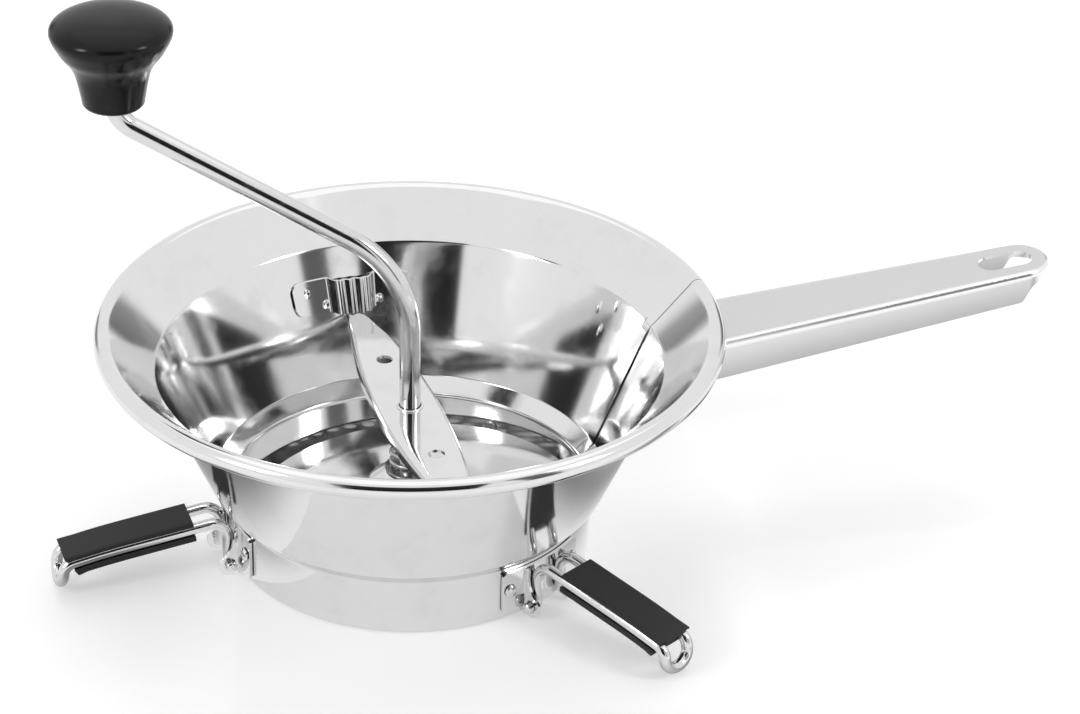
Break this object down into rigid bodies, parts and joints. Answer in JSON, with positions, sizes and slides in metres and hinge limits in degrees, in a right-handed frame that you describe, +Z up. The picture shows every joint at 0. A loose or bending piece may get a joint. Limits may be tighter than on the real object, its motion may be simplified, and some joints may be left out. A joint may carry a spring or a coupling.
{
  "type": "food mill",
  "caption": "Hand-cranked steel food mill: conical bowl on a round foot, long pressed handle, cranked rod with black knob, blade over a perforated disc, folding wire legs.",
  "frame": {"origin": "on the bowl's and crank's axis, in the plane that the foot stands on", "axes": "+X along the handle, away from the bowl; +Z up along the crank's axis; +Y to the left when looking along the handle from the bowl"},
  "size_m": [0.4034, 0.2496, 0.2168],
  "materials": {
    "polished_steel": "mirror polished",
    "satin_steel": "satin",
    "spring_steel": "bright",
    "gloss_black": "gloss",
    "matte_black": "matte"
  },
  "bodies": {
    "bowl": {"bowl_shell": "polished_steel", "handle": "satin_steel", "crossbar_bracket_far": "polished_steel", "crossbar_bracket_near": "polished_steel", "disc": "polished_steel", "leg_bracket_1": "polished_steel", "leg_bracket_2": "polished_steel", "leg_bracket_3": "polished_steel", "leg_rivet_1": "spring_steel", "leg_rivet_2": "spring_steel", "leg_rivet_3": "spring_steel", "leg_rivet_4": "spring_steel", "leg_rivet_5": "spring_steel", "leg_rivet_6": "spring_steel"},
    "crossbar": {"crossbar": "polished_steel", "spring_washer_upper": "spring_steel"},
    "crank": {"crank_rod": "polished_steel", "knob_retainer": "spring_steel", "blade_hub": "polished_steel", "hub_boss": "spring_steel", "hub_pin": "spring_steel", "spring_washer_lower": "spring_steel", "spring": "spring_steel", "blade": "polished_steel"},
    "knob": {"knob": "gloss_black"},
    "leg_1": {"leg_wire_1": "polished_steel", "leg_sleeve_1": "matte_black"},
    "leg_2": {"leg_wire_2": "polished_steel", "leg_sleeve_2": "matte_black"},
    "leg_3": {"leg_wire_3": "polished_steel", "leg_sleeve_3": "matte_black"}
  },
  "joints": [
    {"name": "crank_turn", "type": "hinge", "parent": "bowl", "child": "crank", "pos_m": [0, 0, 0.05], "axis": [0, 0, 1], "continuous": true},
    {"name": "knob_spin", "type": "hinge", "parent": "crank", "child": "knob", "pos_m": [-0.10228, 0.04257, 0.19], "axis": [0, 0, 1], "continuous": true},
    {"name": "crossbar_press", "type": "slide", "parent": "bowl", "child": "crossbar", "axis": [0, 0, 1], "range_m": [-0.0035, 0], "stiffness_N_per_m": 900, "springref_m": 0.008, "deforming": ["spring"]},
    {"name": "leg_1_fold", "type": "hinge", "parent": "bowl", "child": "leg_1", "pos_m": [0.03704, -0.06416, 0.005], "axis": [0.866, 0.5, 0], "range_deg": [0, 165]},
    {"name": "leg_2_fold", "type": "hinge", "parent": "bowl", "child": "leg_2", "pos_m": [0.03704, 0.06416, 0.005], "axis": [-0.866, 0.5, 0], "range_deg": [0, 165]},
    {"name": "leg_3_fold", "type": "hinge", "parent": "bowl", "child": "leg_3", "pos_m": [-0.07408, 0, 0.005], "axis": [0, -1, 0], "range_deg": [0, 165]}
  ]
}
